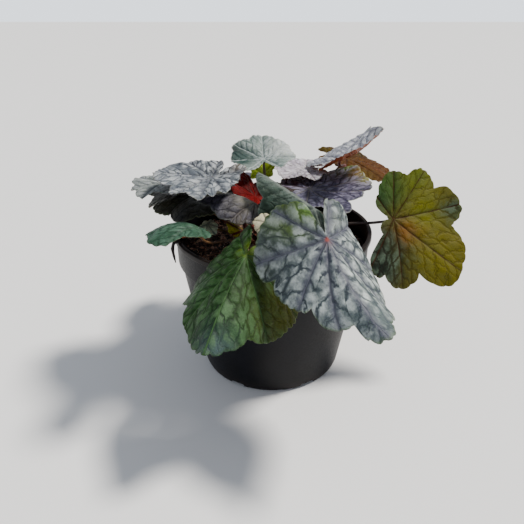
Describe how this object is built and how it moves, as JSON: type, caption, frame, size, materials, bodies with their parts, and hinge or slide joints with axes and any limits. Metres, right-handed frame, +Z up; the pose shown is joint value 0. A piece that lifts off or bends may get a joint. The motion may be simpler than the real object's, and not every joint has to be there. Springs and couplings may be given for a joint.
{
  "type": "heuchera plant in a nursery pot",
  "caption": "Heuchera (coral bells) in a round nursery pot: lobed, veined leaves in silver, green, olive, slate and red on thin arching stalks from a woody crown in potting mix.",
  "frame": {"origin": "middle of the pot's flat underside, on the surface the pot stands on", "axes": "+Z up along the pot's axis; -Y towards the side shown in the picture; +X to the right there"},
  "size_m": [0.2179, 0.2485, 0.1567],
  "materials": {
    "pot_plastic": "satin charcoal moulded plastic",
    "potting_mix": "rough dark potting mix with bark and perlite",
    "crown_bark": "rough woody crown with old leaf scales",
    "leaf_silver": "silver-green leaf with dark slate veins",
    "leaf_green": "mid-green leaf with pale patches and dark veins",
    "leaf_olive": "olive-yellow leaf with dark veins",
    "leaf_pale": "pale silver leaf, softly wrinkled",
    "leaf_dark": "dark olive leaf",
    "leaf_slate": "slate-violet leaf with pale veins",
    "leaf_sea_green": "sea-green leaf with a rust underside",
    "leaf_red": "young red leaf with a maroon half",
    "leaf_lime": "young lime leaf",
    "leaf_rust": "rust-brown and olive leaf"
  },
  "bodies": {
    "root": {"pot": "pot_plastic", "soil": "potting_mix", "crown": "crown_bark", "leaf_front": "leaf_silver", "leaf_green": "leaf_green", "leaf_right": "leaf_olive", "leaf_top_left": "leaf_pale", "leaf_low_left": "leaf_dark", "leaf_far_left": "leaf_pale", "leaf_mid_left": "leaf_slate", "leaf_small_left": "leaf_sea_green", "leaf_red": "leaf_red", "leaf_top": "leaf_silver", "leaf_lime": "leaf_lime", "leaf_folded": "leaf_sea_green", "leaf_purple": "leaf_slate", "leaf_back_right": "leaf_pale", "leaf_rust": "leaf_rust", "leaf_lilac": "leaf_pale", "leaf_tiny": "leaf_pale", "leaf_rear": "leaf_green", "leaf_rear_left": "leaf_silver", "leaf_rear_small": "leaf_slate"}
  },
  "joints": []
}
